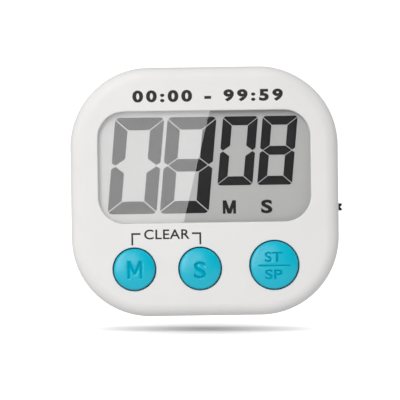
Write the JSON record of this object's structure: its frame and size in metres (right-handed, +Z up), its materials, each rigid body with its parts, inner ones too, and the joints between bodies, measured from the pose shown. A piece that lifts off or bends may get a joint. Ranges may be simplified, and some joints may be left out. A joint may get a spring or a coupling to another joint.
{
  "type": "kitchen timer",
  "caption": "Rounded countdown timer with a large numeric display, push buttons, a side power switch, a folding rear stand, a magnet and a hanging keyhole.",
  "frame": {"origin": "middle of the flat run of the underside that the case stands on", "axes": "+Z up, -Y is the way the display faces, +X to the right when looking at the display"},
  "size_m": [0.0761, 0.0211, 0.0696],
  "materials": {
    "case_white": "white ABS, satin gloss",
    "clear_lens": "clear polished acrylic",
    "polariser_film": "neutral grey film",
    "display_glass": "clear flat glass",
    "reflector_film": "matte light grey film",
    "holder_plastic": "white moulded plastic",
    "elastomer": "layered silicone rubber",
    "board_laminate": "green solder mask on glass-fibre laminate",
    "black_resin": "cast epoxy resin",
    "plated_steel": "tin-plated steel",
    "part_ceramic": "fired ceramic",
    "screw_steel": "nickel-plated steel",
    "silicone": "translucent silicone rubber",
    "carbon_rubber": "carbon-filled rubber",
    "button_blue": "cyan-blue ABS, satin gloss",
    "phenolic": "pressed phenolic laminate",
    "knob_black": "black acetal",
    "cell_jacket": "plain grey printed steel jacket",
    "contact_steel": "nickel-plated spring steel",
    "magnet_face": "nickel-plated sintered magnet",
    "brass_sheet": "thin rolled brass",
    "piezo_ceramic": "silvered piezo ceramic",
    "lead_insulation": "soft vinyl insulation"
  },
  "bodies": {
    "root": {"front_cover": "case_white", "back_cover": "case_white", "display_lens": "clear_lens", "lcd_front_film": "polariser_film", "lcd_front_glass": "display_glass", "lcd_rear_glass": "display_glass", "lcd_reflector": "reflector_film", "lcd_holder": "holder_plastic", "zebra_strip": "elastomer", "circuit_board": "board_laminate", "chip_blob": "black_resin", "watch_crystal": "plated_steel", "surface_parts": "part_ceramic", "board_screws": "screw_steel", "rubber_keypad": "silicone", "switch_housing": "plated_steel", "switch_base": "phenolic", "battery": "cell_jacket", "plus_contact": "contact_steel", "minus_contact": "contact_steel", "magnet": "magnet_face", "buzzer_disc": "brass_sheet", "buzzer_ceramic": "piezo_ceramic", "buzzer_leads": "lead_insulation", "battery_leads": "lead_insulation", "case_screws": "screw_steel"},
    "minutes_key": {"minute_button": "button_blue", "minute_pill": "carbon_rubber"},
    "seconds_key": {"second_button": "button_blue", "second_pill": "carbon_rubber"},
    "start_stop_key": {"start_stop_button": "button_blue", "start_stop_pill": "carbon_rubber"},
    "power_knob": {"switch_knob": "knob_black"},
    "door": {"battery_door": "case_white"},
    "kickstand": {"stand": "case_white"}
  },
  "joints": [
    {"name": "minutes_press", "type": "slide", "parent": "root", "child": "minutes_key", "axis": [0, 1, 0], "range_m": [0, 0.0009], "stiffness_N_per_m": 1200, "deforming": ["rubber_keypad"]},
    {"name": "seconds_press", "type": "slide", "parent": "root", "child": "seconds_key", "axis": [0, 1, 0], "range_m": [0, 0.0009], "stiffness_N_per_m": 1200, "deforming": ["rubber_keypad"]},
    {"name": "start_stop_press", "type": "slide", "parent": "root", "child": "start_stop_key", "axis": [0, 1, 0], "range_m": [0, 0.0009], "stiffness_N_per_m": 1200, "deforming": ["rubber_keypad"]},
    {"name": "power_slide", "type": "slide", "parent": "root", "child": "power_knob", "axis": [0, 0, 1], "range_m": [-0.002, 0]},
    {"name": "door_swing", "type": "hinge", "parent": "root", "child": "door", "pos_m": [0, 0.01, 0.04245], "axis": [-1, 0, 0], "range_deg": [0, 75]},
    {"name": "stand_swing", "type": "hinge", "parent": "root", "child": "kickstand", "pos_m": [0, 0.0085, 0.0096], "axis": [-1, 0, 0], "range_deg": [0, 95]}
  ]
}
